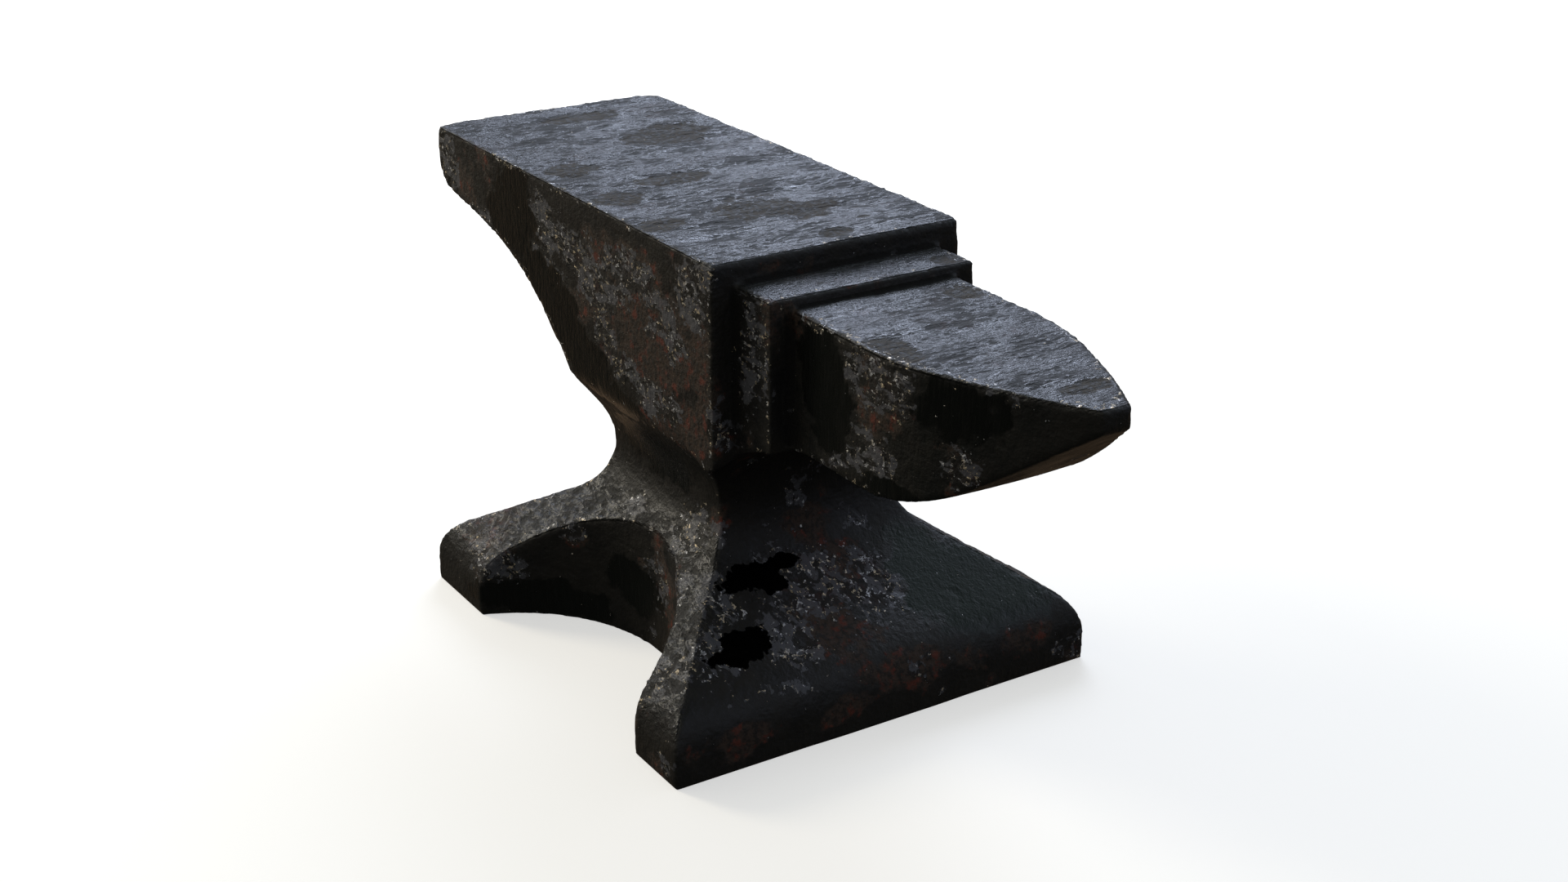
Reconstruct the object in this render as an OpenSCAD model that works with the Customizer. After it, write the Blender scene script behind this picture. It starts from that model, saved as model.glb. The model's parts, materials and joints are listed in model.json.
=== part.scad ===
// Blacksmith's anvil, forge-welded from separate forgings.
// Millimetres. +X points along the horn, +Y to the left side, +Z up.
// The origin is the middle of the base, on the floor.

/* [Face] */
// Width of the striking face and of the body under it
face_width = 130; // [120:1:138]
// Length of the striking face, from the heel's end to the step
face_length = 280; // [265:0.5:295]
// Thickness of the steel face plate, which is also the drop to the step
face_thickness = 10; // [8:0.5:12]
// Height of the striking face above the floor
anvil_height = 215; // [210:0.5:225]
// Distance from the middle of the base to the front end of the face
face_front = 77.5; // [74:0.5:82]

/* [Step and horn] */
// Length of the step, the soft table in front of the face
step_length = 27; // [20:0.5:34]
// Width of the step
step_width = 106; // [98:1:114]
// Drop from the step down to the flat top of the horn
horn_drop = 4.7; // [3:0.1:8]
// Width of the horn where it leaves the step
horn_width = 85; // [78:1:92]
// Length of the horn, from the step to its blunt tip
horn_length = 158; // [150:1:165]
// Length of the horn over which its sides run parallel
horn_parallel = 56; // [50:1:62]
// Radius of the horn's sides where they start to turn inwards
horn_shoulder_radius = 114; // [100:1:120]
// Radius of the horn's sides from there to the tip
horn_nose_radius = 383; // [360:1:420]
// Length of the flat underside of the horn
horn_flat = 35; // [30:1:40]
// Radius of the belly where the horn's underside turns up
horn_belly_radius = 101; // [94:1:108]
// Angle at which the underside rises to the tip
horn_rise = 35; // [32:0.5:37]

/* [Heel] */
// Angle at which the underside of the heel rises to its end
heel_rise = 11; // [9:0.5:13]
// Radius of the hollow under the heel
heel_hollow_radius = 137; // [125:1:140]
// Radius of the heel's lower corner
heel_corner_radius = 10; // [8:0.5:14]

/* [Base and waist] */
// Length of the base along the anvil
base_length = 245.5; // [236:0.5:252]
// Width of the base across the anvil
base_width = 225; // [216:0.5:232]
// Height of the upright edge all round the base
foot_side = 13.5; // [10:0.5:16]
// Radius that rounds the upright edge over into the slope
toe_radius = 24; // [20:0.5:26]
// Length of the waist at its narrowest
waist_length = 102.5; // [96:0.5:108]
// Width of the waist at its narrowest
waist_width = 92; // [88:0.5:98]
// Height of the narrowest part of the waist
waist_height = 88.5; // [86:0.5:92]
// Radius of the hollow between the slope and the waist
waist_radius = 34; // [30:0.5:36]
// Radius of the flare from the waist out to the sides of the body
side_flare_radius = 30; // [25:0.5:31]
// Lean from upright at which that flare reaches the body
side_flare_lean = 37; // [35:0.5:40]
// Radius of the flare from the waist back to the heel
rear_flare_radius = 62; // [55:1:65]
// Lean from upright at which that flare meets the heel's hollow
rear_flare_lean = 40; // [38:0.5:42]
// Radius of the flare from the waist forward to the neck
front_flare_radius = 38; // [35:1:41]
// Lean from upright at which that flare meets the neck's hollow
front_flare_lean = 52; // [50:0.5:54]
// Radius of the hollow under the neck, from the flare to the horn
neck_hollow_radius = 88; // [84:1:92]

/* [Arches] */
// Radius, in plan, of the hollow between the feet on each side
arch_radius = 82.5; // [80:0.5:85]
// Depth of that hollow, measured in from the side of the base
arch_depth = 55.5; // [52:0.5:57]
// Distance of the hollow's middle in front of the middle of the base
arch_offset = 7; // [0:0.5:10]
// Distance from the middle plane to the joint between core and feet
foot_joint = 58; // [57:0.5:62]

/* [Hidden] */
$fn = 128;

// Edges of the main pieces, from the driving dimensions
body_top = anvil_height - face_thickness;
step_front = face_front + step_length;
horn_top = body_top - horn_drop;
horn_tip = step_front + horn_length;
heel_end = face_front - face_length;
cut = anvil_height + base_length;   // larger than the anvil every way

// Side view: centres and ends of the arcs from the waist to the heel
rear_flare_centre = [-waist_length / 2 - rear_flare_radius, waist_height];
heel_joint = rear_flare_centre + rear_flare_radius * [cos(rear_flare_lean), sin(rear_flare_lean)];
heel_hollow_centre = heel_joint
    - heel_hollow_radius * [cos(rear_flare_lean), sin(rear_flare_lean)];
heel_hollow_end = heel_hollow_centre + heel_hollow_radius * [sin(heel_rise), cos(heel_rise)];
heel_end_height = heel_hollow_end[1] + (heel_hollow_end[0] - heel_end) * tan(heel_rise);

// Side view: centres and ends of the arcs from the waist to the horn's tip
front_flare_centre = [waist_length / 2 + front_flare_radius, waist_height];
neck_joint = front_flare_centre + front_flare_radius * [-cos(front_flare_lean), sin(front_flare_lean)];
neck_centre = neck_joint + neck_hollow_radius * [cos(front_flare_lean), -sin(front_flare_lean)];
neck_end = neck_centre + [0, neck_hollow_radius];
belly_start = neck_end + [horn_flat, 0];
belly_centre = belly_start + [0, horn_belly_radius];
belly_end = belly_centre + horn_belly_radius * [sin(horn_rise), -cos(horn_rise)];
tip_bottom = belly_end[1] + (horn_tip - belly_end[0]) * tan(horn_rise);

// End view: the flare from the waist to the body's sides
side_flare_centre = [waist_width / 2 + side_flare_radius, waist_height];
side_flare_end = side_flare_centre + side_flare_radius * [-cos(side_flare_lean), sin(side_flare_lean)];
shoulder_height = side_flare_end[1] + (face_width / 2 - side_flare_end[0]) / tan(side_flare_lean);

// Plan view: the two arcs of each side of the horn
shoulder_x = step_front + horn_parallel;
shoulder_centre = [shoulder_x, horn_width / 2 - horn_shoulder_radius];
nose_turn = 19;   // angle through which the shoulder arc turns
nose_start = shoulder_centre + horn_shoulder_radius * [sin(nose_turn), cos(nose_turn)];
nose_centre = nose_start - horn_nose_radius * [sin(nose_turn), cos(nose_turn)];

// Colours of the iron, the steel face and the worn table
iron = [0.13, 0.12, 0.11];
rusty_iron = [0.2, 0.14, 0.11];
face_steel = [0.34, 0.36, 0.42];

// Lean from upright of the slope that touches the toe's arc and the waist's hollow
function slope_lean(toe, hollow) =
    asin((toe_radius + waist_radius) / norm(hollow - toe)) + atan2(toe[0] - hollow[0], hollow[1] - toe[1]);

// Half of the base up to the waist, seen along X or Y: upright edge, round toe, slope and hollow
module base_half(half_foot, half_waist) {
    toe = [half_foot - toe_radius, foot_side];
    hollow = [half_waist + waist_radius, waist_height];
    lean = slope_lean(toe, hollow);
    normal = [cos(lean), sin(lean)];
    difference() {
        union() {
            polygon([[0, 0], [half_foot, 0], [half_foot, foot_side], toe + toe_radius * normal,
                     hollow - waist_radius * normal, [half_waist, waist_height], [0, waist_height]]);
            intersection() {
                translate(toe) circle(toe_radius);
                translate([0, foot_side]) square([half_foot, toe_radius]);
            }
        }
        translate(hollow) circle(waist_radius);
    }
}

// End view of the base and waist, up to the joint with the body's upright sides
module end_view() {
    for (side = [0, 1]) mirror([side, 0]) {
        base_half(base_width / 2, waist_width / 2);
        difference() {
            polygon([[0, waist_height], [waist_width / 2, waist_height], side_flare_end,
                     [face_width / 2, shoulder_height], [face_width / 2, body_top], [0, body_top]]);
            intersection() {
                translate(side_flare_centre) circle(side_flare_radius);
                translate([0, waist_height]) square([cut, side_flare_end[1] - waist_height]);
            }
        }
    }
}

// Side view of the base
module side_view_base() {
    for (side = [0, 1]) mirror([side, 0]) base_half(base_length / 2, waist_length / 2);
}

// Side view of everything above the waist and under the face plate, out to the horn's tip
module side_view_top() {
    difference() {
        polygon([[-waist_length / 2, waist_height], heel_joint, heel_hollow_end,
                 [heel_end, heel_end_height], [heel_end, body_top], [horn_tip, body_top],
                 [horn_tip, tip_bottom], belly_end, [belly_end[0], belly_start[1]], neck_end,
                 neck_joint, [waist_length / 2, waist_height]]);
        intersection() {
            translate(rear_flare_centre) circle(rear_flare_radius);
            translate([rear_flare_centre[0], waist_height])
                square([cut, heel_joint[1] - waist_height]);
        }
        intersection() {
            translate(heel_hollow_centre) circle(heel_hollow_radius);
            translate([heel_hollow_end[0], heel_joint[1]])
                square([heel_joint[0] - heel_hollow_end[0], cut]);
        }
        intersection() {
            translate(front_flare_centre) circle(front_flare_radius);
            translate([0, waist_height]) square([front_flare_centre[0], neck_joint[1] - waist_height]);
        }
        intersection() {
            translate(neck_centre) circle(neck_hollow_radius);
            translate(neck_joint) square([neck_end[0] - neck_joint[0], cut]);
        }
        difference() {
            translate(belly_start) square([belly_end[0] - belly_start[0], belly_end[1] - belly_start[1]]);
            translate(belly_centre) circle(horn_belly_radius);
        }
    }
}

// Stands a side view up in the XZ plane and gives it a width
module widen(width) {
    rotate([90, 0, 0]) linear_extrude(width, center = true) children();
}

// A block between two corners, used to share one shape out among its pieces
module region(low, high) {
    translate(low) cube(high - low);
}

// The hollows between the feet on the two long sides, seen from above
module arches() {
    for (side = [-1, 1])
        translate([arch_offset, side * (base_width / 2 - arch_depth + arch_radius), -1])
            cylinder(h = waist_height, r = arch_radius);
}

// The base and the waist as one shape, before it is shared out among core and feet
module base_shape() {
    difference() {
        intersection() {
            widen(base_width) side_view_base();
            rotate([90, 0, 90]) linear_extrude(base_length, center = true) end_view();
        }
        arches();
    }
}

// The quarter of the base beyond the core, at one end and on one side
module foot(end, side) {
    color(rusty_iron) intersection() {
        base_shape();
        region([end > 0 ? arch_offset : -cut, side > 0 ? foot_joint : -cut, 0],
               [end > 0 ? cut : arch_offset, side > 0 ? cut : -foot_joint, waist_height]);
    }
}

// Waist, middle of the base and middle of the body: the forging that the others are welded to
module core() {
    color(iron) {
        intersection() {
            base_shape();
            region([-cut, -foot_joint, 0], [cut, foot_joint, waist_height]);
        }
        intersection() {
            widen(face_width) side_view_top();
            rotate([90, 0, 90]) linear_extrude(cut, center = true) end_view();
            region([heel_joint[0], -cut, waist_height], [face_front, cut, body_top]);
        }
    }
}

// Overhanging rear end of the body
module heel() {
    color(iron) intersection() {
        widen(face_width) difference() {
            side_view_top();
            difference() {
                translate([heel_end, 0]) square([heel_corner_radius, heel_end_height + heel_corner_radius]);
                translate([heel_end + heel_corner_radius, heel_end_height + heel_corner_radius])
                    circle(heel_corner_radius);
            }
        }
        region([heel_end, -cut, 0], [heel_joint[0], cut, body_top]);
    }
}

// Soft table between the face and the horn
module step_block() {
    color(iron) intersection() {
        widen(step_width) side_view_top();
        region([face_front, -cut, 0], [step_front, cut, body_top]);
    }
}

// One side of the horn in plan: parallel, then cut back to the shoulder's arc and the nose's arc
module horn_plan_half() {
    difference() {
        square([horn_tip, horn_width / 2]);
        difference() {
            translate([shoulder_x, 0]) square([nose_start[0] - shoulder_x, horn_width]);
            translate(shoulder_centre) circle(horn_shoulder_radius);
        }
        difference() {
            translate([shoulder_x, 0]) square([horn_tip, horn_width]);
            translate(nose_centre) circle(horn_nose_radius);
        }
    }
}

// Flat-topped horn with a rising belly and a blunt tip
module horn() {
    color(iron) intersection() {
        widen(horn_width) side_view_top();
        linear_extrude(horn_top) for (side = [0, 1]) mirror([0, side]) horn_plan_half();
        region([step_front, -cut, 0], [horn_tip, cut, horn_top]);
    }
}

// Hard steel plate welded over the core and the heel
module face_plate() {
    color(face_steel)
        region([heel_end, -face_width / 2, body_top], [face_front, face_width / 2, anvil_height]);
}

face_plate();
core();
heel();
step_block();
horn();
foot(1, 1);  // foot_front_left
foot(1, -1);  // foot_front_right
foot(-1, 1);  // foot_rear_left
foot(-1, -1);  // foot_rear_right
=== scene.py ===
import json
import math
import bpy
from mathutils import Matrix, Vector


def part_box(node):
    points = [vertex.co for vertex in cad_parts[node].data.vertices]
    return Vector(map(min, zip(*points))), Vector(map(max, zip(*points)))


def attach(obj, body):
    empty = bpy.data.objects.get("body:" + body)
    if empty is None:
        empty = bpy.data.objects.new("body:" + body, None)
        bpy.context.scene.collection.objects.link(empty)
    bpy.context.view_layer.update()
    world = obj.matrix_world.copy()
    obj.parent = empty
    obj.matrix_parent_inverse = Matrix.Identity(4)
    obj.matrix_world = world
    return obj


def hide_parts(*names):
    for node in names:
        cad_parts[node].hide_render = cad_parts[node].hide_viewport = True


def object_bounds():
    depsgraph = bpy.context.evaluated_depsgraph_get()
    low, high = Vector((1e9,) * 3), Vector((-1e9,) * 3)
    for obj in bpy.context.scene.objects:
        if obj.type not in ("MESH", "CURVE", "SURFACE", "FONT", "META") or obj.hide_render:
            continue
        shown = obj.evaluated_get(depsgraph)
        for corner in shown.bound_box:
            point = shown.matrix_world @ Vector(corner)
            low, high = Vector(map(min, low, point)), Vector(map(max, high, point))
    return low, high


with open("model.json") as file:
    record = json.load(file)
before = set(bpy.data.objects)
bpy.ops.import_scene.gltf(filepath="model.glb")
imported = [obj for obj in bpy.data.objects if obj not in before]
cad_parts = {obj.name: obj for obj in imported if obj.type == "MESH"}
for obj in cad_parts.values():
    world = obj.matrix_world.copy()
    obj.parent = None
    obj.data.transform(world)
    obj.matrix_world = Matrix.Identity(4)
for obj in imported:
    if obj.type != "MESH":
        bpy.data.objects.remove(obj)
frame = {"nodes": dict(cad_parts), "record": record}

from types import SimpleNamespace

import bmesh
import bpy
import numpy as np
from mathutils import Vector, noise
from mathutils.kdtree import KDTree

# The CAD model's box, kept before anything is added
CAD_BOX = [list(corner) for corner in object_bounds()]

# Corners of the CAD nodes that other places are worked out from
FACE_LOW, FACE_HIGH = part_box("face_plate")
HEEL_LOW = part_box("heel")[0]
STEP_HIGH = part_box("step_block")[1]
HORN_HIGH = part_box("horn")[1]

FACE_WIDTH_MM = 130
MM = (FACE_HIGH.y - FACE_LOW.y) / FACE_WIDTH_MM  # one millimetre, in the frame's metres
VOXEL = 1.2 * MM        # size of the skin's quads

# Radii in millimetres over which the skin is smoothed
FLOW_RADIUS = 8          # away from edges, so that no joint of the CAD solids shows
ROUNDING_RADIUS = 1.8    # everywhere, which rounds the edges
EXTRA_RADIUS = 4.2       # where extra_rounding() asks for it
HALF_WEIGHT = 0.5        # how far one round of smoothing moves a point towards its neighbours' middle

# Heights of the relief's layers in millimetres, and how far all of it is pushed below the smooth shape
RELIEF = SimpleNamespace(waves=0.12, dents=0.18, plates=0.17, fibres=0.22, scale=0.45, grit=0.06, crust=0.5,
                         worn=0.35, chips=0.24, groove=0.35, below=0.40)


# ---------------------------------------------------------------- geometry helpers

def smoothstep(value, low, high):
    """0 below low, 1 above high, and a smooth ramp between them; high may be the smaller one."""
    t = np.clip((value - low) / (high - low), 0, 1)
    return t * t * (3 - 2 * t)


def fractal(points, size, octaves=4, stretch=(1, 1, 1), seed=0):
    """Layered noise from about -1 to 1 at each point; size is its largest feature, in millimetres."""
    seed_spacing = 17.3
    falloff = 1.0
    finer_by = 2.0
    scaled = points / (np.array(stretch) * size * MM) + seed * seed_spacing
    return np.array([noise.fractal(p, falloff, finer_by, octaves) for p in scaled.tolist()])


def ridges(points, size, octaves, seed):
    """Noise with sharp crests, from 0 in the hollows to 1 on the crests."""
    sharpness = 2.5
    return 1 - np.clip(np.abs(fractal(points, size, octaves, seed=seed)) * sharpness, 0, 1)


def terraces(values, step):
    """Turns smooth heights into flat layers with steep steps between them."""
    layer = np.floor(values / step)
    return (layer + smoothstep(values / step - layer, 0.55, 1.0)) * step


def linked(name, data):
    """A new object with this data, in the scene."""
    carrier = bpy.data.objects.new(name, data)
    bpy.context.scene.collection.objects.link(carrier)
    return carrier


def mesh_from(bm, name):
    mesh = bpy.data.meshes.new(name)
    bm.to_mesh(mesh)
    bm.free()
    return mesh


def applied(carrier):
    """The object's mesh with its modifiers applied, as a new mesh; the object itself is removed."""
    bpy.context.view_layer.update()
    graph = bpy.context.evaluated_depsgraph_get()
    mesh = bpy.data.meshes.new_from_object(carrier.evaluated_get(graph))
    bpy.data.objects.remove(carrier)
    return mesh


def joined_shape():
    """One closed skin around all the CAD solids, as even quads."""
    bm = bmesh.new()
    for node in frame["nodes"].values():
        bm.from_mesh(node.data)
    bmesh.ops.remove_doubles(bm, verts=bm.verts, dist=0.001 * MM)
    carrier = linked("joined", mesh_from(bm, "joined"))
    remesh = carrier.modifiers.new("quads", "REMESH")
    remesh.mode = "VOXEL"
    remesh.voxel_size = VOXEL
    return applied(carrier)


def read(collection, name, width=1, kind=np.float32):
    """A property of every element of a mesh collection, as one array with width columns."""
    values = np.empty(len(collection) * width, kind)
    collection.foreach_get(name, values)
    return values if width == 1 else values.reshape(-1, width)


def move_points(mesh, points):
    mesh.vertices.foreach_set("co", points.astype(np.float32).ravel())
    mesh.update()


def normals_of(mesh):
    return read(mesh.vertex_normals, "vector", 3).astype(float)


class Neighbours:
    """Averages values over each vertex's neighbours."""

    def __init__(self, mesh):
        self.edges = read(mesh.edges, "vertices", 2, np.int32)
        self.count = len(mesh.vertices)
        self.valence = np.bincount(self.edges.ravel(), minlength=self.count)

    def mean(self, values):
        first, second = self.edges.T
        columns = values.reshape(self.count, -1)
        total = [np.bincount(first, column[second], self.count)
                 + np.bincount(second, column[first], self.count) for column in columns.T]
        return (np.array(total).T / self.valence[:, None]).reshape(values.shape)

    def soften(self, values, radius, weight=HALF_WEIGHT):
        """Spreads the values over a radius in millimetres; weight may be one number or one per vertex."""
        rounds_per_squared_quad = 2
        rounds = max(1, round((radius * MM / VOXEL) ** 2 * rounds_per_squared_quad))
        for _ in range(rounds):
            step = self.mean(values) - values
            values = values + (step.T * weight).T
        return values


def bends(near, points, normals, radius, full):
    """How strongly the skin bends within a radius: edges and hollows, each 1 at full millimetres."""
    pull = near.soften(points, radius) - points
    bend = np.einsum("ij,ij->i", pull, normals) / MM
    edge = near.soften(np.clip(-bend / full, 0, 1), 1.0)
    hollow = near.soften(np.clip(bend / full, 0, 1), 1.0)
    return edge, hollow


# ---------------------------------------------------------------- patches

def spot(node, x, y, z):
    """A point at these fractions of a CAD node's box."""
    low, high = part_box(node)
    return np.array([low[axis] + part * (high[axis] - low[axis]) for axis, part in enumerate((x, y, z))])


def patch_field(points, patches):
    """1 in the middle of the nearest patch, 0 on its border, and negative outside."""
    far_outside = -2.0
    field = np.full(len(points), far_outside)
    for node, place, radii in patches:
        offset = (points - spot(node, *place)) / (np.array(radii) * MM)
        field = np.maximum(field, 1 - np.linalg.norm(offset, axis=1))
    return field


# Each patch has a node, the place of its middle as fractions of the node's box, and its radii in millimetres.

# Where the worn brown patches lie on the striking face, the step and the horn
OLIVE = [
    ("face_plate", (0.28, 0.70, 1), (19, 26, 8)),
    ("face_plate", (0.40, 0.16, 1), (11, 14, 8)),
    ("face_plate", (0.55, 0.41, 1), (9, 22, 8)),
    ("face_plate", (0.80, 0.50, 1), (18, 28, 8)),
    ("face_plate", (0.95, 0.55, 1), (5, 8, 8)),
    ("face_plate", (0.60, 0.13, 1), (11, 12, 8)),
    ("face_plate", (0.77, 0.08, 1), (9, 13, 8)),
    ("face_plate", (0.10, 0.55, 1), (10, 26, 8)),
    ("step_block", (0.75, 0.93, 1), (8, 9, 6)),
    ("horn", (0.12, 0.88, 1), (12, 8, 6)),
    ("horn", (0.40, 0.10, 1), (14, 8, 6)),
    ("horn", (0.85, 0.55, 1), (6, 14, 6)),
]
# A bright island inside the largest of them
OLIVE_HOLE = [("face_plate", (0.845, 0.46, 1), (7, 10, 8))]

# Clusters of pale flakes
FLAKES = [
    ("face_plate", (0.04, 0.0, 0.0), (14, 6, 26)),
    ("face_plate", (0.97, 0.0, 0.2), (9, 4, 9)),
    ("heel", (0.10, 0.0, 0.85), (12, 6, 16)),
    ("heel", (0.46, 0.0, 0.62), (34, 6, 8)),
    ("heel", (0.88, 0.0, 0.80), (20, 6, 18)),
    ("heel", (0.92, 0.0, 0.55), (18, 6, 9)),
    ("core", (0.29, 0.0, 0.91), (22, 6, 12)),
    ("core", (0.40, 0.0, 0.86), (24, 6, 12)),
    ("core", (0.52, 0.0, 0.93), (26, 6, 11)),
    ("core", (0.42, 0.0, 0.75), (13, 6, 10)),
    ("core", (0.49, 0.0, 0.70), (13, 6, 8)),
    ("core", (0.57, 0.0, 0.67), (16, 6, 8)),
    ("core", (0.66, 0.0, 0.68), (12, 6, 9)),
    ("core", (0.74, 0.0, 0.95), (16, 6, 14)),
    ("step_block", (0.55, 0.0, 0.76), (13, 6, 34)),
    ("horn", (0.28, 0.0, 0.80), (8, 8, 16)),
    ("horn", (0.35, 0.0, 0.30), (13, 8, 12)),
    ("horn", (0.44, 0.0, 0.80), (18, 8, 14)),
    ("horn", (0.14, 0.0, 0.52), (5, 6, 6)),
    ("horn", (0.67, 0.1, 0.45), (12, 10, 9)),
    ("horn", (0.75, 0.2, 0.95), (8, 8, 6)),
    ("core", (0.84, 0.66, 0.24), (22, 13, 18)),
    ("core", (0.90, 0.20, 0.20), (16, 16, 12)),
    ("core", (0.80, 0.36, 0.28), (22, 20, 18)),
    ("core", (0.86, 0.56, 0.22), (14, 14, 12)),
    ("core", (0.80, 0.04, 0.28), (14, 10, 16)),
    ("foot_front_right", (0.72, 0.62, 0.70), (14, 22, 12)),
    ("foot_rear_right", (0.49, 0.24, 0.38), (10, 12, 8)),
    ("foot_rear_right", (0.68, 0.68, 0.74), (8, 8, 6)),
    ("core", (0.53, 0.06, 0.18), (12, 8, 14)),
    ("core", (0.63, 0.10, 0.34), (14, 9, 16)),
    ("core", (0.44, 0.06, 0.36), (14, 8, 9)),
    ("foot_front_right", (0.40, 0.10, 0.50), (30, 9, 16)),
    ("foot_front_right", (0.25, 0.60, 0.85), (14, 20, 10)),
    ("foot_front_right", (0.66, 0.40, 0.50), (12, 20, 12)),
    ("foot_rear_right", (0.60, 0.06, 0.50), (40, 8, 15)),
    ("foot_rear_right", (0.92, 0.36, 0.30), (10, 14, 16)),
]

# Rust-brown areas
RUST = [
    ("heel", (0.26, 0.0, 0.78), (11, 6, 20)),
    ("core", (0.46, 0.0, 0.90), (44, 6, 20)),
    ("core", (0.58, 0.0, 0.84), (58, 6, 36)),
    ("heel", (0.40, 0.0, 0.55), (30, 6, 12)),
    ("core", (0.62, 0.0, 0.76), (34, 6, 32)),
    ("core", (0.74, 0.0, 0.66), (14, 6, 18)),
    ("step_block", (0.85, 0.0, 0.85), (7, 6, 18)),
    ("horn", (0.04, 0.0, 0.93), (8, 6, 10)),
    ("horn", (0.40, 0.0, 0.64), (17, 8, 24)),
    ("horn", (0.67, 0.1, 0.48), (12, 10, 8)),
    ("core", (0.89, 0.38, 0.20), (16, 20, 14)),
    ("core", (0.73, 0.48, 0.34), (12, 12, 9)),
    ("core", (0.56, 0.06, 0.24), (10, 8, 16)),
    ("foot_rear_right", (0.30, 0.28, 0.60), (20, 14, 10)),
    ("foot_rear_right", (0.68, 0.70, 0.70), (10, 8, 6)),
    ("foot_front_right", (0.06, 0.70, 0.40), (9, 20, 18)),
    ("core", (0.80, 0.50, 0.26), (22, 26, 16)),
    ("core", (0.76, 0.12, 0.42), (18, 10, 12)),
    ("core", (0.98, 0.66, 0.10), (10, 26, 9)),
    ("core", (0.98, 0.30, 0.06), (8, 20, 7)),
    ("core", (0.86, 0.10, 0.14), (14, 14, 9)),
    ("foot_front_left", (0.95, 0.30, 0.30), (9, 18, 9)),
    ("foot_front_right", (0.96, 0.55, 0.22), (9, 22, 8)),
]

# Dark and smooth areas without flakes or rust
SMOOTH = [
    ("heel", (0.64, 0.0, 0.82), (26, 6, 27)),
    ("core", (0.16, 0.0, 0.79), (22, 6, 17)),
    ("core", (0.25, 0.0, 0.71), (22, 6, 18)),
    ("core", (0.35, 0.0, 0.65), (22, 6, 15)),
    ("core", (0.46, 0.0, 0.60), (20, 8, 10)),
    ("horn", (0.15, 0.0, 0.60), (22, 8, 30)),
    ("horn", (0.72, 0.1, 0.80), (34, 10, 16)),
    ("horn", (0.48, 0.0, 0.05), (30, 8, 9)),
    ("foot_front_left", (0.72, 0.25, 0.60), (26, 34, 24)),
    ("core", (0.86, 0.86, 0.22), (32, 18, 28)),
    ("foot_rear_right", (0.60, 0.45, 0.15), (46, 34, 10)),
    ("core", (0.46, 0.05, 0.14), (22, 8, 16)),
    # Darkens the concave waist on the near side, between body and base
    ("core", (0.48, 0.15, 0.50), (36, 14, 22)),
]

# Pitch-black burnt spots on the front slope of the base
BLACK = [
    ("core", (0.78, 0.22, 0.29), (9, 14, 6)),
    ("core", (0.76, 0.34, 0.30), (6, 10, 5)),
    ("foot_front_right", (0.73, 0.93, 0.70), (10, 14, 9)),
]

# Teal-tinged clean scale on the far half of the base's front slope
TEAL = [
    ("foot_front_left", (0.75, 0.20, 0.65), (30, 46, 30)),
    ("core", (0.86, 0.84, 0.24), (34, 16, 30)),
]

# Direction of the two sides where the patches are listed; elsewhere they are scattered by noise
PLACED_SIDES = np.array([0.84, -0.54, 0.0])

# Scattered patches: largest size in mm, level (a lower one gives more of them) and the noise's seed
SCATTER = {
    "olive": (34, 1.25, 5),
    "smooth": (45, 0.75, 6),
    "flake": (26, 0.72, 7),
    "rust": (40, 0.55, 8),
}


def scattered(points, kind):
    """A field like patch_field's, with patches of one kind everywhere."""
    steepness = 1.6
    size, level, seed = SCATTER[kind]
    return fractal(points, size, seed=seed) * steepness - level


def patch_fields(points, normals, up):
    """The fields of all the patches, with borders broken up by noise."""
    warp = fractal(points, 16, seed=1) * 0.42 + fractal(points, 4, octaves=3, seed=2) * 0.16
    wide = fractal(points, 30, stretch=(0.6, 1.5, 1), seed=3) * 0.4
    warp_wide = wide + fractal(points, 5, octaves=3, seed=4) * 0.2
    placed = smoothstep(normals @ PLACED_SIDES, -0.05, 0.25)

    olive = np.maximum(patch_field(points, OLIVE), scattered(points, "olive") - (up < 0.5))
    olive = np.minimum(olive, -patch_field(points, OLIVE_HOLE))
    smooth = np.maximum(patch_field(points, SMOOTH), scattered(points, "smooth") - placed) + warp
    flake = np.maximum(patch_field(points, FLAKES), scattered(points, "flake") - placed * 0.25)
    rust = np.maximum(patch_field(points, RUST), scattered(points, "rust") - placed * 0.3)
    outside_smooth = -3.0 * smooth
    return {"olive": olive + warp_wide,
            "smooth": smooth,
            "flake": np.minimum(flake + warp, outside_smooth),
            "rust": np.minimum(rust + warp * 1.5, outside_smooth),
            "black": patch_field(points, BLACK) + warp * 1.7,
            "teal": patch_field(points, TEAL) + warp * 0.7}


# ---------------------------------------------------------------- the skin

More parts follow.
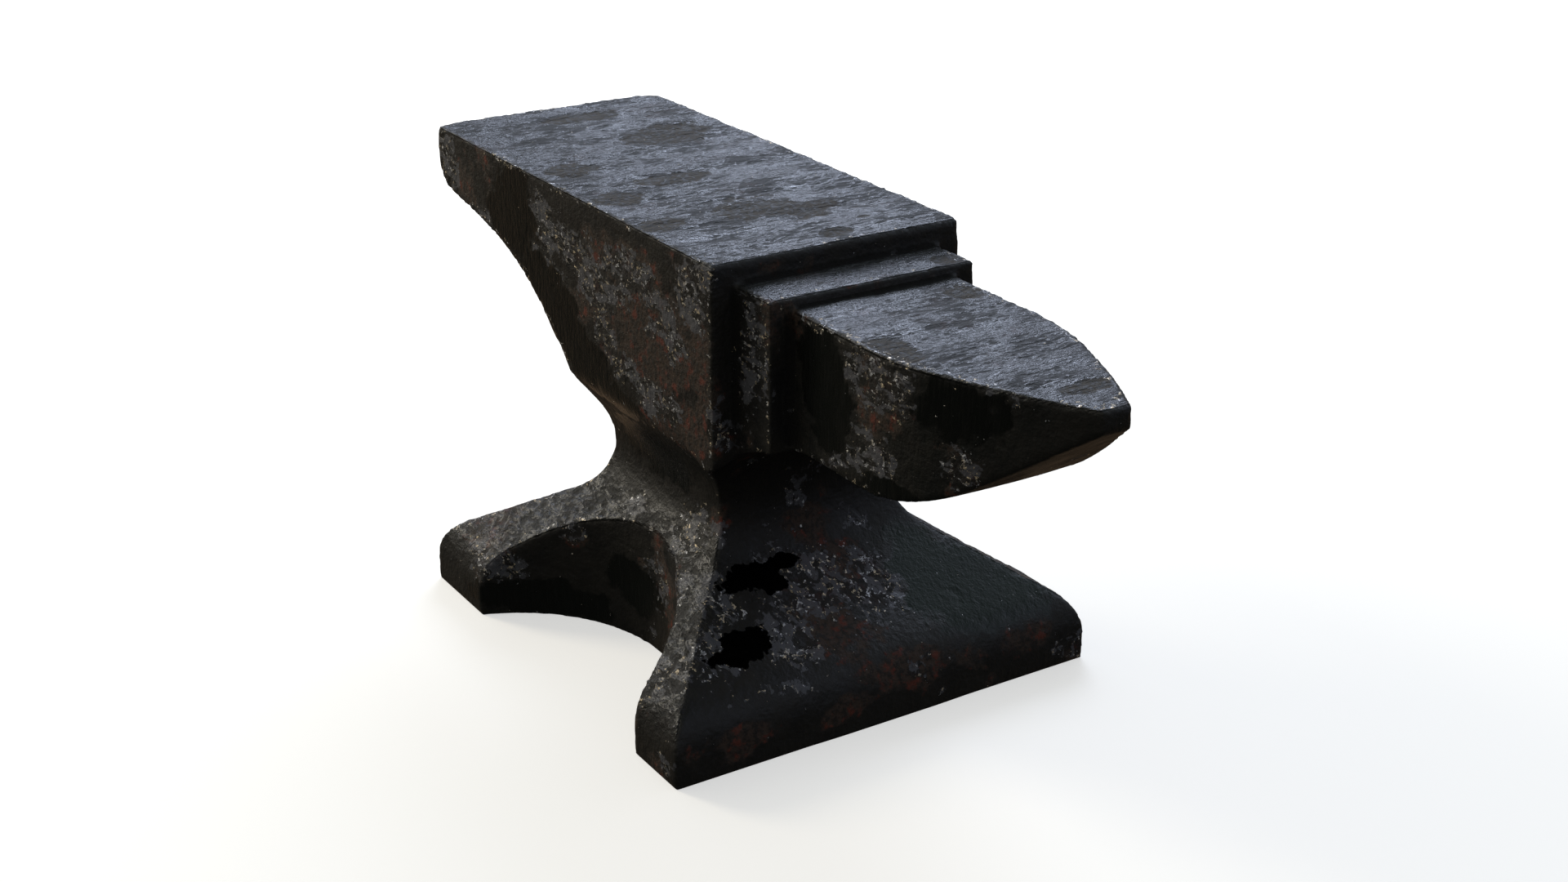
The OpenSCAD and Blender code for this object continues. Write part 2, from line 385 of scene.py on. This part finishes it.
def anvil_skin():
    """The whole anvil as one skin: rounded edges, real relief, and a field for each kind of wear."""
    mesh = joined_shape()
    near = Neighbours(mesh)
    sharp = read(mesh.vertices, "co", 3).astype(float)
    flowing = near.soften(sharp, FLOW_RADIUS, away_from_edges(mesh, near, sharp) * HALF_WEIGHT)
    move_points(mesh, flowing)
    flowing_normals = normals_of(mesh)

    rounded = near.soften(flowing, ROUNDING_RADIUS)
    rounded = near.soften(rounded, EXTRA_RADIUS, extra_rounding(sharp) * HALF_WEIGHT)
    rounded = sagged(rounded)
    move_points(mesh, rounded)
    normals = normals_of(mesh)

    edge, hollow = bends(near, rounded, normals, radius=3.0, full=0.35)
    edge_zone, _ = bends(near, rounded, normals, radius=6.5, full=0.8)
    up = smoothstep(near.soften(flowing_normals[:, 2], 2.0), 0.86, 0.98)
    faces_front = smoothstep(normals[:, 0], 0.15, 0.40)
    slope = smoothstep(normals[:, 2], 0.26, 0.66) * (1 - faces_front) * (1 - up)
    fields = {"edge": edge, "edge_zone": edge_zone * flaky_edges(rounded, normals), "hollow": hollow,
              "up": up, "slope": slope, **patch_fields(rounded, normals, up)}

    underside = smoothstep(rounded[:, 2], 1.2 * MM, 0.2 * MM)
    height = relief(rounded, fields, np.maximum(edge, edge_zone)) * (1 - underside)
    points = rounded + normals * (height * MM)[:, None]
    move_points(mesh, np.clip(points, CAD_BOX[0], CAD_BOX[1]))
    for name, values in fields.items():
        layer = mesh.attributes.new(name, "FLOAT", "POINT")
        layer.data.foreach_set("value", values.astype(np.float32))
    layer = mesh.attributes.new("skin_normal", "FLOAT_VECTOR", "POINT")
    layer.data.foreach_set("vector", normals_of(mesh).astype(np.float32).ravel())
    return mesh


def away_from_edges(mesh, near, points):
    """1 where the skin is flat or gently curved, 0 within a few millimetres of edges and creases."""
    edge, hollow = bends(near, points, normals_of(mesh), radius=2.0, full=0.22)
    marked = near.soften(smoothstep(np.maximum(edge, hollow), 0.6, 0.95), 3.5)
    return smoothstep(marked, 0.10, 0.01)


def flaky_edges(points, normals):
    """Which edges have lost their skin to pale flakes: fewer at the front and far side, none by the floor."""
    front = smoothstep(normals[:, 0], 0.05, 0.3)
    far = smoothstep(normals[:, 1], 0.1, 0.5)
    low = smoothstep(points[:, 2], 40 * MM, 12 * MM)
    patchy = smoothstep(fractal(points, 30, octaves=3, seed=9), -0.45, 0.1)
    return (1 - 0.9 * front) * (1 - 0.7 * far) * (1 - low) * (0.15 + 0.95 * patchy)


def extra_rounding(points):
    """Where edges are rounder than elsewhere: heel's end, front edges, and the blend from body to waist."""
    x, y, z = points.T
    from_side = FACE_HIGH.y - abs(y)
    heel_end = smoothstep(x - HEEL_LOW.x, 8 * MM, 2 * MM) * smoothstep(from_side, 11 * MM, 5 * MM)
    front_edges = (smoothstep(FACE_HIGH.x - x, 7 * MM, 3 * MM)
                   * smoothstep(z - STEP_HIGH.z, -2 * MM, 3 * MM))
    below_step = STEP_HIGH.z - z
    along_waist = smoothstep(x, 45 * MM, 5 * MM) * smoothstep(x, -85 * MM, -60 * MM)
    blend = along_waist * smoothstep(below_step, 101 * MM, 93 * MM) * smoothstep(below_step, 63 * MM, 73 * MM)
    return np.clip(heel_end + 0.5 * front_edges + blend, 0, 1)


def sagged(points):
    """Lowers the body's front bottom corners, and bulges the horn's underside in the middle."""
    corner_sag = 4.5 * MM
    belly_bulge = 1.4 * MM
    x, y, z = points.T
    before_front = FACE_HIGH.x - x
    below_step = STEP_HIGH.z - z
    corner = (smoothstep(before_front, 25.5 * MM, 5.5 * MM) * smoothstep(before_front, -1 * MM, 1 * MM)
              * smoothstep(FACE_HIGH.y - abs(y), 17 * MM, 1 * MM)
              * smoothstep(below_step, 107 * MM, 87 * MM) * smoothstep(below_step, 40 * MM, 75 * MM))
    across_horn = np.clip(abs(y) / HORN_HIGH.y, 0, 1)
    belly = (smoothstep(x - STEP_HIGH.x, 4 * MM, 40 * MM)
             * smoothstep(HORN_HIGH.z - z, 12 * MM, 40 * MM) * (1 - across_horn ** 2))
    return np.stack([x, y, z - corner_sag * corner - belly_bulge * belly], 1)


def relief(points, fields, any_edge):
    """Height of the relief in millimetres, nowhere above the smooth shape."""
    up, slope = fields["up"], fields["slope"]
    flaky = smoothstep(fields["flake"], -0.1, 0.25)
    inner_top = up * (1 - 0.85 * smoothstep(any_edge, 0.05, 0.6))

    waves = fractal(points, 45, octaves=2, seed=11) * RELIEF.waves
    dents = -smoothstep(fractal(points, 15, octaves=3, seed=12), 0.3, 0.7) * RELIEF.dents
    plates = terraces(fractal(points, 22, octaves=5, stretch=(0.55, 2.0, 1), seed=13), RELIEF.plates)
    fibres = fractal(points, 5.0, octaves=3, stretch=(0.6, 2.6, 1), seed=14) * RELIEF.fibres
    scale = (ridges(points, 5.0, octaves=3, seed=15) - 0.5) * RELIEF.scale
    grit = fractal(points, 3.2, octaves=2, seed=16) * RELIEF.grit
    crust = (ridges(points, 9, octaves=4, seed=18) - 0.5) * RELIEF.crust
    worn = -smoothstep(fields["olive"], -0.05, 0.12) * up * RELIEF.worn
    chipped = smoothstep(fractal(points, 4, octaves=3, seed=17), 0.1, 0.6)
    chips = -chipped * fields["edge"] * RELIEF.chips
    groove = -fields["hollow"] * RELIEF.groove

    height = waves + dents + grit + inner_top * (plates + fibres) + slope * crust + (1 - up) * flaky * scale
    return np.minimum(height + worn + chips + groove - RELIEF.below, 0)


# ---------------------------------------------------------------- cutting the skin into pieces

# The sides of each piece's box that are joints; the others are free surfaces
JOINTS = {
    "face_plate": ("z-",),
    "heel": ("x+", "z+"),
    "step_block": ("x-", "x+", "z+"),
    "horn": ("x-",),
    "foot_front_left": ("y-",),
    "foot_front_right": ("y+",),
    "foot_rear_left": ("y-",),
    "foot_rear_right": ("y+",),
}
CLEARANCE = 5 * MM  # how far a piece's box reaches past its free surfaces


def region(node):
    """The CAD node's box, pushed out past its free surfaces and exact at its joints."""
    low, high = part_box(node)
    for axis, letter in enumerate("xyz"):
        if letter + "-" not in JOINTS[node]:
            low[axis] -= CLEARANCE
        if letter + "+" not in JOINTS[node]:
            high[axis] += CLEARANCE
    if node == "face_plate":
        high.x = STEP_HIGH.x + CLEARANCE
    return low, high


def box_object(name, low, high):
    bm = bmesh.new()
    bmesh.ops.create_cube(bm, size=1)
    size = high - low
    for vertex in bm.verts:
        vertex.co = Vector([low[axis] + (vertex.co[axis] + 0.5) * size[axis] for axis in range(3)])
    return linked(name, mesh_from(bm, name))


def cut_out(skin, node, cutters):
    """The part of the skin that belongs to a node, closed with flat faces at its joints."""
    carrier = linked(node + "_skin", skin)
    chosen = cutters.items() if node == "core" else [(node, cutters[node])]
    for name, cutter in chosen:
        cut = carrier.modifiers.new(name, "BOOLEAN")
        cut.solver = "MANIFOLD"
        cut.operation = "DIFFERENCE" if node == "core" else "INTERSECT"
        cut.object = cutter
    return applied(carrier)


def fill_cut_points(mesh):
    """Gives each point that a cut has made the values of the nearest skin point; returns all skin normals."""
    normals = read(mesh.attributes["skin_normal"].data, "vector", 3)
    made = np.linalg.norm(normals, axis=1) < 0.5
    points = read(mesh.vertices, "co", 3)
    kept = np.flatnonzero(~made)
    tree = KDTree(len(kept))
    for index in kept:
        tree.insert(points[index], int(index))
    tree.balance()
    source = np.arange(len(points))
    source[made] = [tree.find(point)[1] for point in points[made]]
    for layer in mesh.attributes:
        if layer.domain == "POINT" and layer.data_type == "FLOAT":
            values = read(layer.data, "value")
            layer.data.foreach_set("value", values[source])
    return normals[source]


def shade(mesh):
    """Smooth skin with the uncut skin's normals, so that no joint shows, and flat joint faces."""
    face_count = len(mesh.polygons)
    totals = read(mesh.polygons, "loop_total", kind=np.int32)
    face_of_corner = np.repeat(np.arange(face_count), totals)
    vertex_of_corner = read(mesh.loops, "vertex_index", kind=np.int32)
    wanted = fill_cut_points(mesh)[vertex_of_corner]
    flat = read(mesh.polygons, "normal", 3)[face_of_corner]
    disagrees = np.einsum("ij,ij->i", wanted, flat) < 0.35
    is_joint_face = np.bincount(face_of_corner, disagrees, face_count) / totals > 0.4
    at_joint = is_joint_face[face_of_corner]
    wanted[at_joint] = flat[at_joint]
    mesh.polygons.foreach_set("use_smooth", np.ones(face_count, bool))
    mesh.normals_split_custom_set(wanted.tolist())


# ---------------------------------------------------------------- material helpers

class Nodes:
    """Builds shader nodes with plain calls; a value may be a number, a colour or another node's output."""

    def __init__(self, tree):
        self.tree = tree
        tree.nodes.clear()

    def make(self, kind, inputs, **settings):
        node = self.tree.nodes.new(kind)
        for name, value in settings.items():
            setattr(node, name, value)
        for socket, value in inputs.items():
            if isinstance(value, bpy.types.NodeSocket):
                self.tree.links.new(value, node.inputs[socket])
            else:
                node.inputs[socket].default_value = value
        return node

    def field(self, name):
        return self.make("ShaderNodeAttribute", {}, attribute_name=name).outputs["Fac"]

    def math(self, operation, first, second=0.0):
        return self.make("ShaderNodeMath", {0: first, 1: second}, operation=operation).outputs[0]

    def add(self, first, second):
        return self.math("ADD", first, second)

    def times(self, first, second):
        return self.math("MULTIPLY", first, second)

    def larger(self, first, second):
        return self.math("MAXIMUM", first, second)

    def swing(self, texture, amount):
        """A texture's swing around its middle value of 0.5, times an amount."""
        return self.times(self.add(texture, -0.5), amount)

    def ramp(self, value, low, high, start=0.0, end=1.0):
        """start below low, end above high, and a smooth ramp between them."""
        inputs = {"Value": value, "From Min": low, "From Max": high, "To Min": start, "To Max": end}
        node = self.make("ShaderNodeMapRange", inputs, interpolation_type="SMOOTHSTEP")
        return node.outputs["Result"]

    def mix(self, amount, first, second):
        """A colour between two colours."""
        node = self.make("ShaderNodeMix", {0: amount, 6: first, 7: second}, data_type="RGBA")
        return node.outputs[2]

    def blend(self, amount, first, second):
        """A number between two numbers."""
        node = self.make("ShaderNodeMix", {0: amount, 2: first, 3: second}, data_type="FLOAT")
        return node.outputs[0]

    def noise(self, place, size, stretch, detail, roughness, distortion):
        """Noise around 0.5 whose largest feature is size millimetres, times the stretch of each axis."""
        stretched = self.make("ShaderNodeVectorMath", {0: place, 1: [1 / part for part in stretch]},
                              operation="MULTIPLY").outputs[0]
        inputs = {"Vector": stretched, "Scale": 1 / (size * MM), "Detail": detail, "Roughness": roughness,
                  "Distortion": distortion}
        return self.make("ShaderNodeTexNoise", inputs).outputs["Fac"]

    def terraces(self, value, count):
        """Turns a smooth value from 0 to 1 into this many flat layers with steep steps between them."""
        scaled = self.times(value, count)
        step = self.ramp(self.math("FRACT", scaled), 0.6, 1.0)
        return self.times(self.add(self.math("FLOOR", scaled), step), 1 / count)


def colour(red, green, blue):
    return (red, green, blue, 1.0)


# ---------------------------------------------------------------- the iron

EVEN = (1, 1, 1)

# Noise textures: size of the largest feature in mm, stretch of each axis, detail, roughness, distortion
TEXTURES = {
    "mottle": (14, EVEN, 6, 0.6, 0.0),
    "fine": (2.6, EVEN, 4, 0.6, 0.0),
    "grain": (0.9, EVEN, 2, 0.5, 0.0),
    "streaks": (1.8, (1, 1, 6), 3, 0.6, 0.0),
    "fibre": (5.0, (0.6, 2.6, 1), 4, 0.6, 0.3),
    "hair": (2.4, (0.55, 1.9, 1), 3, 0.6, 0.0),
    "plates": (13, (0.6, 1.8, 1), 5, 0.62, 0.5),
    "patchy": (24, (0.7, 1.8, 1), 6, 0.62, 0.0),
    "speck": (2.3, EVEN, 2, 0.6, 0.0),
    "glint": (1.1, EVEN, 1, 0.5, 0.0),
    "bed": (6.0, (1.6, 1, 0.9), 5, 0.65, 0.6),
    "crust": (3.5, EVEN, 4, 0.62, 0.0),
    "redness": (6, EVEN, 4, 0.6, 0.0),
    "warmth": (7, EVEN, 3, 0.5, 0.0),
}

SKIN_BROWN = colour(0.014, 0.012, 0.009)
STREAK_BROWN = colour(0.020, 0.017, 0.013)
SMOOTH_BLACK = colour(0.0050, 0.0054, 0.0048)
TEAL_BLACK = colour(0.004, 0.012, 0.009)
RUST_LIGHT = colour(0.060, 0.037, 0.025)
RUST_DARK = colour(0.021, 0.015, 0.011)
RUST_RED = colour(0.150, 0.034, 0.018)
TOP_BLACK = colour(0.006, 0.006, 0.006)
OLIVE_LIGHT = colour(0.046, 0.036, 0.024)
OLIVE_DARK = colour(0.010, 0.009, 0.007)
FLAKE_GREY = colour(0.86, 0.86, 0.90)
FLAKE_GOLD = colour(0.95, 0.78, 0.54)
BED_DARK = colour(0.014, 0.013, 0.012)
BED_GREY = colour(0.106, 0.107, 0.121)
BURNT = colour(0.0012, 0.0012, 0.0012)
# Painted shade: near-black for the creases and hollows, where shade falls
CREASE_SHADE = colour(0.002, 0.002, 0.002)

# For each slot: the skin's darkest colour, the colour of bright layers on the tops and slopes, which is part
# worn metal and part painted sheen, and the noise level above which a layer is bright
MATERIALS = {
    "face_steel": dict(dark=colour(0.012, 0.012, 0.012), wear_and_sheen_tone=colour(0.026, 0.027, 0.030),
                       bright_level=0.43),
    "body_iron": dict(dark=colour(0.010, 0.009, 0.008), wear_and_sheen_tone=colour(0.020, 0.020, 0.020),
                      bright_level=0.41),
    "table_iron": dict(dark=colour(0.010, 0.010, 0.010), wear_and_sheen_tone=colour(0.030, 0.031, 0.035),
                       bright_level=0.34),
    "horn_iron": dict(dark=colour(0.009, 0.009, 0.008), wear_and_sheen_tone=colour(0.030, 0.031, 0.035),
                      bright_level=0.39),
    "foot_iron": dict(dark=colour(0.011, 0.010, 0.009), wear_and_sheen_tone=colour(0.024, 0.023, 0.023),
                      bright_level=0.41),
}

# Roughness of each kind of wear; a pair is the range that a texture runs through
ROUGHNESS = SimpleNamespace(skin=(0.46, 0.60), smooth=(0.24, 0.36), rust=0.75, dark_top=0.72, bright_top=0.25,
                            slope=(0.72, 0.34), olive=(0.82, 0.58), flakes=0.34, teal=0.34, black=0.9)

# Heights in millimetres of the fine relief's layers
BUMP = SimpleNamespace(grain=0.10, fine=0.30, fine_on_smooth=0.10, streaks=0.22, fibre=1.4, hair=1.1,
                       plates=2.0, side_crust=0.6, smooth_crust=0.1, bed=2.0, corroded=0.4, flakes=0.30,
                       olive=-0.15)

# How much noise a spot needs to become a flake: outside clusters, inside them, and along the bed's rims
SPARSE_LEVEL = 0.74
CLUSTER_LEVEL = 0.65
RIM_LEVEL = 0.51
SLOT_OF = {subpart["node"]: subpart["material_slot"] for subpart in frame["record"]["subparts"]}


def iron_material(name, dark, wear_and_sheen_tone, bright_level):
    """Old forged iron: near-black skin, rust, pale flakes along edges, worn slate-like upper faces with a
    painted sheen, and painted shade in the creases.
    """
    material = bpy.data.materials.new(name)
    material.use_nodes = True
    n = Nodes(material.node_tree)
    place = n.make("ShaderNodeTexCoord", {}).outputs["Object"]
    t = SimpleNamespace(**{texture: n.noise(place, *values) for texture, values in TEXTURES.items()})
    a = wear_areas(n, t, bright_level)
    surface = n.make("ShaderNodeBsdfPrincipled", {
        "Base Color": iron_colour(n, t, a, dark, wear_and_sheen_tone), "Roughness": iron_roughness(n, t, a),
        # Painted shade: the creases also take some metalness, which dims their reflection
        "Metallic": n.larger(n.times(a.flakes, 0.4), n.larger(n.times(a.crease, 0.3), a.black)),
        "Specular IOR Level": 0.5, "Normal": iron_bump(n, t, a)})
    n.make("ShaderNodeOutputMaterial", {"Surface": surface.outputs["BSDF"]})
    return material


def wear_areas(n, t, bright_level):
    """Where each kind of wear and the painted shade in the creases show, from 0 to 1: the skin's fields with
    ragged borders.
    """
    ragged = n.add(n.swing(t.fine, 1.1), n.swing(t.bed, 0.9))

    def area(field, raggedness, low, high):
        return n.ramp(n.add(n.field(field), n.times(ragged, raggedness)), low, high)

    a = SimpleNamespace()
    a.up = n.field("up")
    a.side = n.math("SUBTRACT", 1.0, a.up)
    a.slope = n.field("slope")
    # Tops and the near and rear slopes, which take the layered colour with its painted sheen
    a.slate = n.math("MINIMUM", n.add(a.up, n.times(a.slope, 0.48)), 1.0)
    a.rust = area("rust", 0.6, -0.1, 0.2)
    a.smooth = area("smooth", 0.3, -0.05, 0.15)
    a.olive = n.times(area("olive", 0.5, -0.03, 0.06), a.up)
    a.black = area("black", 0.4, 0.0, 0.08)
    a.teal = area("teal", 0.4, -0.05, 0.2)
    # Painted shade: darkens the creases and hollows, where shade falls
    a.crease = area("hollow", 0.5, 0.45, 1.0)
    broken = n.add(n.swing(t.fibre, 0.45), n.swing(t.hair, 0.75))
    a.bright = n.ramp(n.add(t.patchy, broken), bright_level, bright_level + 0.10)

    flake_field = n.add(n.field("flake"), ragged)
    a.flake_bed = n.ramp(flake_field, 0.0, 0.12)
    worn_edge = area("edge_zone", 0.6, 0.25, 0.8)
    a.flakes = flake_specks(n, t, n.larger(n.times(n.ramp(flake_field, -0.55, 0.45), a.side), worn_edge))
    return a


def flake_specks(n, t, density):
    """Single pale flakes: dense inside clusters and along worn edges, sparse around them."""
    rim = n.ramp(n.math("ABSOLUTE", n.add(t.bed, -0.5)), 0.05, 0.0)
    level = n.blend(density, SPARSE_LEVEL, n.blend(rim, CLUSTER_LEVEL, RIM_LEVEL))
    specks = n.ramp(n.math("SUBTRACT", t.speck, level), 0.0, 0.03)
    return n.times(specks, n.ramp(t.glint, 0.38, 0.6, 0.3, 1.0))


def iron_colour(n, t, a, dark, wear_and_sheen_tone):
    """Colour, from the skin upwards."""
    base = n.mix(n.ramp(t.mottle, 0.35, 0.7), dark, SKIN_BROWN)
    base = n.mix(n.ramp(t.streaks, 0.45, 0.75, 0.0, 0.5), base, STREAK_BROWN)
    base = n.mix(n.times(a.smooth, 0.85), base, SMOOTH_BLACK)
    base = n.mix(n.times(a.teal, 0.85), base, TEAL_BLACK)
    rust = n.mix(n.ramp(t.fine, 0.42, 0.60), RUST_LIGHT, RUST_DARK)
    rust = n.mix(n.ramp(t.redness, 0.53, 0.68), rust, RUST_RED)
    base = n.mix(n.times(a.rust, 0.9), base, rust)
    # Tops and slopes: dark and bright layers; the bright colour is part real wear, part painted sheen
    base = n.mix(n.times(a.slate, 0.85), base, n.mix(a.bright, TOP_BLACK, wear_and_sheen_tone))
    base = n.mix(a.olive, base, n.mix(n.ramp(t.fine, 0.4, 0.6), OLIVE_LIGHT, OLIVE_DARK))
    bed = n.mix(n.ramp(t.bed, 0.49, 0.53), BED_DARK, BED_GREY)
    base = n.mix(n.times(n.times(a.flake_bed, a.side), 0.85), base, bed)
    base = n.mix(a.flakes, base, n.mix(n.ramp(t.warmth, 0.42, 0.6), FLAKE_GREY, FLAKE_GOLD))
    base = n.mix(a.black, base, BURNT)
    # Painted shade in the creases and hollows
    return n.mix(n.times(a.crease, 0.6), base, CREASE_SHADE)


def iron_roughness(n, t, a):
    """Roughness, in the same order as the colour."""
    rough = n.ramp(t.mottle, 0.3, 0.7, *ROUGHNESS.skin)
    rough = n.blend(a.smooth, rough, n.ramp(t.streaks, 0.4, 0.65, *ROUGHNESS.smooth))
    rough = n.blend(a.rust, rough, ROUGHNESS.rust)
    rough = n.blend(a.up, rough, n.blend(a.bright, ROUGHNESS.dark_top, ROUGHNESS.bright_top))
    crusted = n.add(n.times(t.bed, 0.6), n.times(t.crust, 0.4))
    rough = n.blend(a.slope, rough, n.ramp(crusted, 0.45, 0.54, *ROUGHNESS.slope))
    rough = n.blend(a.olive, rough, n.ramp(t.fine, 0.45, 0.65, *ROUGHNESS.olive))
    rough = n.blend(a.flakes, rough, ROUGHNESS.flakes)
    rough = n.blend(a.teal, rough, ROUGHNESS.teal)
    return n.blend(n.larger(a.crease, a.black), rough, ROUGHNESS.black)


def iron_bump(n, t, a):
    """Fine relief below the mesh's own: each layer is a texture with its height."""
    side_crust = n.times(a.side, n.blend(a.smooth, BUMP.side_crust, BUMP.smooth_crust))
    layers = [
        n.swing(t.grain, BUMP.grain),
        n.swing(t.fine, n.blend(a.smooth, BUMP.fine, BUMP.fine_on_smooth)),
        n.swing(t.streaks, n.times(a.side, BUMP.streaks)),
        n.swing(t.fibre, n.times(a.up, BUMP.fibre)),
        n.swing(t.hair, n.times(a.up, BUMP.hair)),
        n.times(n.terraces(t.plates, count=11), n.times(a.up, BUMP.plates)),
        n.swing(t.crust, n.larger(a.slope, side_crust)),
        n.times(n.terraces(t.bed, count=8), n.times(a.slope, BUMP.bed)),
        n.swing(t.fine, n.times(n.larger(a.rust, a.flake_bed), BUMP.corroded)),
        n.times(a.flakes, BUMP.flakes),
        n.times(a.olive, BUMP.olive),
    ]
    height = layers[0]
    for layer in layers[1:]:
        height = n.add(height, layer)
    bump = n.make("ShaderNodeBump", {"Height": height, "Distance": 1.0 * MM, "Strength": 1.0})
    return bump.outputs["Normal"]


# ---------------------------------------------------------------- pieces

def build_pieces():
    skin = anvil_skin()
    cutters = {node: box_object(node + "_cutter", *region(node)) for node in JOINTS}
    materials = {slot: iron_material(slot, **look) for slot, look in MATERIALS.items()}
    for node in frame["nodes"]:
        slot = SLOT_OF[node]
        mesh = cut_out(skin, node, cutters)
        mesh.name = node + "_forging"
        mesh.materials.clear()
        mesh.materials.append(materials[slot])
        mesh.polygons.foreach_set("material_index", np.zeros(len(mesh.polygons), np.int32))
        shade(mesh)
        piece = linked(node + "_forging", mesh)
        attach(piece, "root")
        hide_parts(node)
    for cutter in cutters.values():
        bpy.data.objects.remove(cutter)


# ---------------------------------------------------------------- floor, light and camera

FLOOR_HALF_SIZE = 4.0                     # metres
FLOOR_FADE = (0.3, 2.0)                   # metres from the middle, between which the floor fades to white
FLOOR_GLOW = (0.55, 1.0)                  # its emission in the middle and where it is white
FLOOR_TONE = colour(0.82, 0.79, 0.73)
WHITE = colour(1, 1, 1)

# The dome's ramps: parts of the direction between which it changes, then its strength at both ends
SKY_RISING = (0.12, 0.48, 0.14, 1.0)      # up from the horizon
SKY_FALLING = (0.5, 0.95, 1.0, 0.13)      # towards the top
SKY_BEHIND = (-0.5, 0.9, 0.45, 1.3)       # from the front of the anvil to behind it
WARM_SKY = colour(1.0, 0.95, 0.86)        # low on the photographed side
COOL_SKY = colour(0.86, 0.94, 1.14)       # on the far side
HIGH_SKY = colour(0.80, 0.98, 0.88)       # overhead
DARK_GROUND = colour(0.024, 0.026, 0.022)
TAN_GROUND = colour(0.20, 0.135, 0.085)   # only at the far rear

# Azimuth 0 is over +X and 90 over +Y; distances and sizes are in metres and the power in watts
LAMPS = {
    "warm_left": dict(azimuth=208, elevation=26, distance=1.8, size=0.48, power=10.0,
                      tone=(1.0, 0.91, 0.72)),
    "cool_back": dict(azimuth=144, elevation=35, distance=1.6, size=0.75, power=8.0,
                      tone=(0.82, 0.92, 1.16)),
}

# The photograph's camera: its place ahead of the face's front end, to the anvil's right and above the floor
CAMERA_AHEAD = 746.16 * MM
CAMERA_RIGHT = 503.15 * MM
CAMERA_HEIGHT = 499.01 * MM
CAMERA_TILT = math.radians(22.757)        # below the horizon
CAMERA_TURN = math.radians(57.552)
LENS_MM = 50
SENSOR_MM = 36


def floor():
    """A pale floor that fades to white; the anvil is lit as if it weren't there, by the dome's ground."""
    bm = bmesh.new()
    bmesh.ops.create_grid(bm, x_segments=1, y_segments=1, size=FLOOR_HALF_SIZE)
    plane = linked("floor", mesh_from(bm, "floor"))
    material = bpy.data.materials.new("pale_floor")
    material.use_nodes = True
    n = Nodes(material.node_tree)
    place = n.make("ShaderNodeTexCoord", {}).outputs["Object"]
    distance = n.make("ShaderNodeVectorMath", {0: place}, operation="LENGTH").outputs["Value"]
    surface = n.make("ShaderNodeBsdfPrincipled", {
        "Base Color": FLOOR_TONE, "Roughness": 0.9, "Specular IOR Level": 0.1,
        "Emission Color": WHITE, "Emission Strength": n.ramp(distance, *FLOOR_FADE, *FLOOR_GLOW)})
    n.make("ShaderNodeOutputMaterial", {"Surface": surface.outputs["BSDF"]})
    plane.data.materials.append(material)
    plane.visible_glossy = False
    plane.visible_diffuse = False


def sky():
    """A soft studio dome: brightest behind the anvil, dim near the horizon and overhead, dark below."""
    world = bpy.data.worlds.new("studio")
    world.use_nodes = True
    bpy.context.scene.world = world
    n = Nodes(world.node_tree)
    direction = n.make("ShaderNodeTexCoord", {}).outputs["Generated"]
    toward = n.make("ShaderNodeSeparateXYZ", {"Vector": direction}).outputs
    to_rear = n.add(n.times(toward["X"], -0.97), n.times(toward["Y"], 0.25))
    upward = n.times(n.ramp(toward["Z"], *SKY_RISING), n.ramp(toward["Z"], *SKY_FALLING))
    strength = n.times(upward, n.ramp(to_rear, *SKY_BEHIND))
    tone = n.mix(n.ramp(toward["Y"], -0.55, -0.05), WARM_SKY, COOL_SKY)
    tone = n.mix(n.ramp(toward["Z"], 0.62, 0.85), tone, HIGH_SKY)
    far_rear = n.ramp(n.math("SUBTRACT", toward["Y"], toward["X"]), 0.35, 1.0)
    ground_tone = n.mix(far_rear, DARK_GROUND, TAN_GROUND)

    lit = n.make("ShaderNodeBackground", {"Color": tone, "Strength": strength}).outputs[0]
    ground = n.make("ShaderNodeBackground", {"Color": ground_tone, "Strength": 1.0}).outputs[0]
    backdrop = n.make("ShaderNodeBackground", {"Color": WHITE, "Strength": 1.0}).outputs[0]
    above = n.ramp(toward["Z"], -0.05, 0.08)
    dome = n.make("ShaderNodeMixShader", {0: above, 1: ground, 2: lit}).outputs[0]
    seen_directly = n.make("ShaderNodeLightPath", {}).outputs["Is Camera Ray"]
    both = n.make("ShaderNodeMixShader", {0: seen_directly, 1: dome, 2: backdrop}).outputs[0]
    n.make("ShaderNodeOutputWorld", {"Surface": both})


def softbox(name, azimuth, elevation, distance, size, power, tone):
    """A round area light aimed at the middle of the anvil."""
    middle = (Vector(CAD_BOX[0]) + Vector(CAD_BOX[1])) / 2
    turn, rise = math.radians(azimuth), math.radians(elevation)
    direction = Vector((math.cos(turn) * math.cos(rise), math.sin(turn) * math.cos(rise), math.sin(rise)))
    light = bpy.data.lights.new(name, "AREA")
    light.shape = "DISK"
    light.size = size
    light.energy = power
    light.color = tone
    lamp = linked(name, light)
    lamp.location = middle + direction * distance
    lamp.rotation_euler = direction.to_track_quat("Z", "Y").to_euler()


def camera():
    """The photograph's view: from in front and to the right, looking down."""
    lens = bpy.data.cameras.new("camera")
    lens.lens = LENS_MM
    lens.sensor_width = SENSOR_MM
    view = linked("camera", lens)
    view.location = (FACE_HIGH.x + CAMERA_AHEAD, -CAMERA_RIGHT, CAMERA_HEIGHT)
    view.rotation_euler = (math.radians(90) - CAMERA_TILT, 0, CAMERA_TURN)
    bpy.context.scene.camera = view


build_pieces()
floor()
sky()
for lamp_name, lamp_settings in LAMPS.items():
    softbox(lamp_name, **lamp_settings)
camera()
bpy.context.scene.view_settings.view_transform = "Standard"
